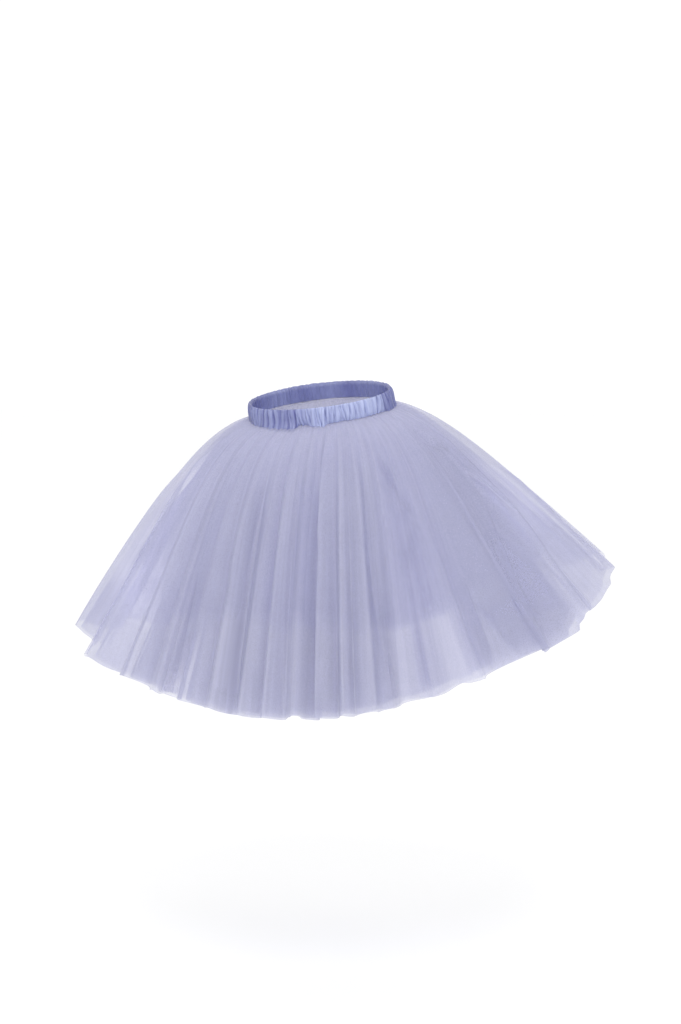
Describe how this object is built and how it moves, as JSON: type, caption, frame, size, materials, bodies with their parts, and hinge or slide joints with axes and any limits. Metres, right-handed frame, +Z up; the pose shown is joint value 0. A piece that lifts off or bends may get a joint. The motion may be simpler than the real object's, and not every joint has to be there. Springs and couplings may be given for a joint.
{
  "type": "ballet tutu",
  "caption": "Child's knee-length ballet tutu with a ruched elastic satin waistband and a flared, folded skirt of layered tulle, hollow and posed as worn.",
  "frame": {"origin": "centre of the waist opening, halfway up the waistband, where the wearer holds the garment up", "axes": "+Z up along the wearer, -Y out of the garment's front, +X to the wearer's left"},
  "size_m": [0.7595, 0.567, 0.4294],
  "materials": {
    "satin_casing": "periwinkle satin, ruched over elastic",
    "tulle": "soft lavender-blue nylon net, see-through"
  },
  "bodies": {
    "root": {"waistband": "satin_casing", "tulle_outer_front": "tulle", "tulle_outer_back": "tulle", "tulle_middle_front": "tulle", "tulle_middle_back": "tulle", "tulle_inner_front": "tulle", "tulle_inner_back": "tulle"}
  },
  "joints": []
}
